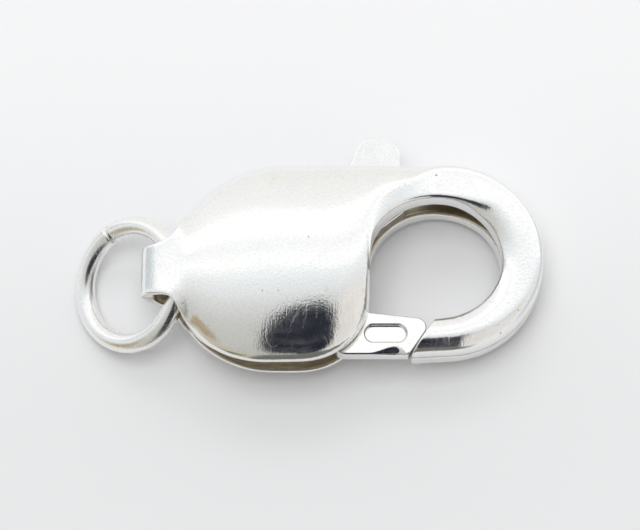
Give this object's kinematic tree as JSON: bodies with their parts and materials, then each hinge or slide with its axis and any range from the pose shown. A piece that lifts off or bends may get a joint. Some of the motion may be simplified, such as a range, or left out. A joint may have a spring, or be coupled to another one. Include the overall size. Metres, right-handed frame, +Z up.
{
  "type": "lobster clasp",
  "caption": "Hollow silver lobster clasp with a sprung lever gate, a rounded hook and an open jump ring hanging from its folded end loop.",
  "frame": {"origin": "on the surface that the clasp lies on, below the middle of its box", "axes": "+X from the jump ring to the hook, +Y towards the thumb tab, +Z up, away from the surface"},
  "size_m": [0.0298, 0.0148, 0.0072],
  "materials": {
    "body_silver": "polished silver, worn with fine scratches",
    "lever_silver": "polished silver",
    "pin_silver": "plain drawn silver wire",
    "ring_silver": "polished silver wire, lightly toned"
  },
  "bodies": {
    "clasp": {"body": "body_silver", "pivot_pin": "pin_silver"},
    "lever": {"lever": "lever_silver"},
    "ring": {"jump_ring": "ring_silver"}
  },
  "joints": [
    {"name": "lever_hinge", "type": "hinge", "parent": "clasp", "child": "lever", "pos_m": [0.00161, -0.00278, 0.00346], "axis": [0.0956, 0, 0.9954], "range_deg": [0, 28], "stiffness_Nm_per_rad": 0.02, "springref_deg": -11.46},
    {"name": "ring_swing", "type": "hinge", "parent": "clasp", "child": "ring", "pos_m": [-0.0078, -0.00142, 0.00436], "axis": [0, 1, 0], "range_deg": [-6, 80]}
  ]
}
